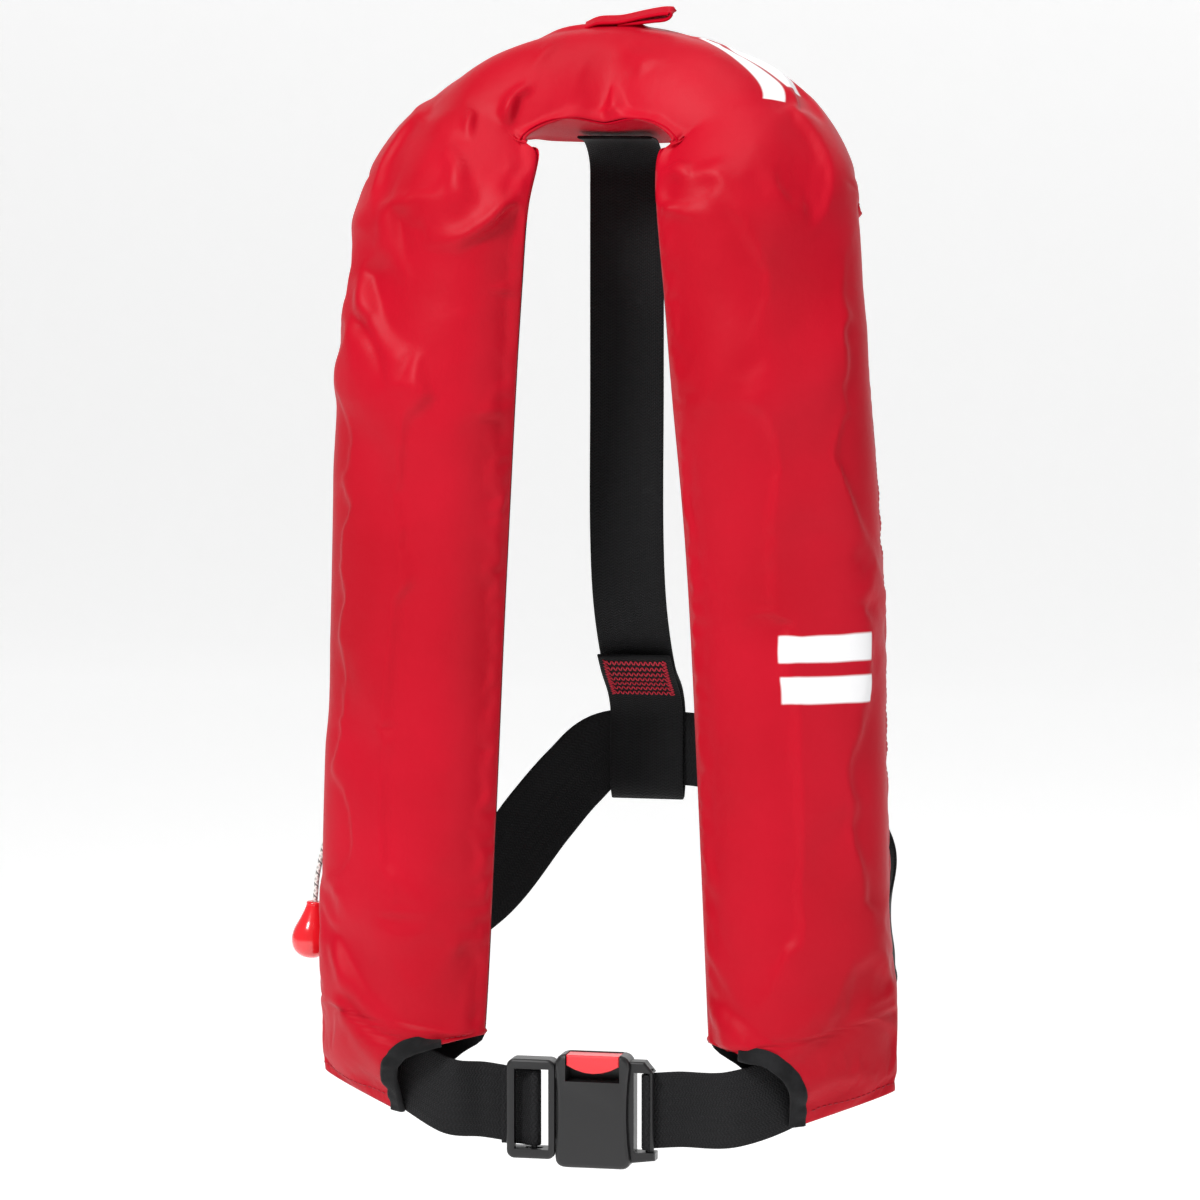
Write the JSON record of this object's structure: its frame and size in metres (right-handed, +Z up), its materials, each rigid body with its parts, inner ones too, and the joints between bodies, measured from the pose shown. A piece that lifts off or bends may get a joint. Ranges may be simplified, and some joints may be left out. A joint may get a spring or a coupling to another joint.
{
  "type": "inflatable life jacket",
  "caption": "Horseshoe inflatable life jacket, folded, with waist belt, back strap, side-release buckle, pull handle and inflator.",
  "frame": {"origin": "middle of the collar's wearer's side, where it rests on the nape", "axes": "+X to the wearer's left, +Y to the wearer's back, +Z up"},
  "size_m": [0.3141, 0.1622, 0.5749],
  "materials": {
    "red_fabric": "coated woven nylon",
    "black_fabric": "coated woven nylon",
    "webbing": "ribbed webbing",
    "black_plastic": "moulded",
    "red_plastic": "moulded",
    "bladder": "coated nylon",
    "steel": "plated",
    "brass": "turned",
    "white_plastic": "moulded",
    "green_plastic": "moulded",
    "rubber": "moulded",
    "orange_plastic": "moulded",
    "cord": "braided polyester"
  },
  "bodies": {
    "jacket": {"front_cover": "red_fabric", "back_panel": "black_fabric", "closure_loop_tape": "black_fabric", "closure_hook_tape": "red_fabric", "bladder": "bladder", "inflator_body": "black_plastic", "manifold_valve": "brass", "manifold_gasket": "rubber", "manifold_cap_nut": "brass", "lever_pin": "steel", "oral_tube": "rubber", "whistle": "orange_plastic", "whistle_cord": "cord", "cord_exit_flap": "black_fabric", "mouth_binding_left": "black_fabric", "mouth_binding_right": "black_fabric", "hang_loop": "red_fabric", "back_strap": "webbing", "buckle_housing": "black_plastic", "waist_belt": "webbing", "front_belt": "webbing"},
    "tongue": {"buckle_tongue": "black_plastic"},
    "adjuster": {"adjuster_bar": "black_plastic"},
    "button": {"buckle_button": "red_plastic"},
    "handle": {"pull_handle": "red_plastic", "pull_cord": "cord"},
    "lever": {"pull_lever": "red_plastic"},
    "pin": {"piercing_pin": "steel"},
    "cylinder": {"gas_cylinder": "steel"},
    "capsule": {"capsule_cap": "green_plastic", "salt_capsule": "white_plastic"},
    "oral_cap": {"oral_tube_cap": "black_plastic"},
    "oral_valve": {"oral_valve": "white_plastic"}
  },
  "joints": [
    {"name": "buckle_release", "type": "slide", "parent": "jacket", "child": "tongue", "axis": [-1, 0, 0], "range_m": [0, 0.032], "deforming": ["front_belt"]},
    {"name": "adjuster_slide", "type": "slide", "parent": "tongue", "child": "adjuster", "axis": [1, 0, 0], "range_m": [-0.0024, 0.0024]},
    {"name": "button_press", "type": "slide", "parent": "jacket", "child": "button", "axis": [0, 0, -1], "range_m": [0, 0.0035], "stiffness_N_per_m": 400, "springref_m": -0.001},
    {"name": "handle_pull", "type": "slide", "parent": "jacket", "child": "handle", "axis": [-0.1045, 0, -0.9945], "range_m": [0, 0.014], "deforming": ["pull_cord"]},
    {"name": "lever_turn", "type": "hinge", "parent": "jacket", "child": "lever", "pos_m": [-0.10623, -0.04565, -0.30069], "axis": [0.4321, 0.9016, 0.019], "range_deg": [0, 20.5]},
    {"name": "pin_stroke", "type": "slide", "parent": "jacket", "child": "pin", "axis": [0.0521, -0.0459, 0.9976], "range_m": [0, 0.0031]},
    {"name": "cylinder_unscrew", "type": "hinge", "parent": "jacket", "child": "cylinder", "pos_m": [-0.10817, -0.04685, -0.1994], "axis": [0.0521, -0.0459, 0.9976], "continuous": true},
    {"name": "capsule_unscrew", "type": "hinge", "parent": "jacket", "child": "capsule", "pos_m": [-0.09622, -0.05011, -0.31675], "axis": [0.0521, -0.0459, 0.9976], "continuous": true},
    {"name": "oral_cap_pull", "type": "slide", "parent": "jacket", "child": "oral_cap", "axis": [-0.0609, -0.0496, 0.9969], "range_m": [0, 0.02]},
    {"name": "valve_press", "type": "slide", "parent": "jacket", "child": "oral_valve", "axis": [0.0609, 0.0496, -0.9969], "range_m": [0, 0.004], "stiffness_N_per_m": 200, "springref_m": -0.001}
  ],
  "couplings": [
    {"joint": "lever_turn", "follows": "handle_pull", "rad_per_m": 25},
    {"joint": "pin_stroke", "follows": "handle_pull", "ratio": 0.21429}
  ]
}
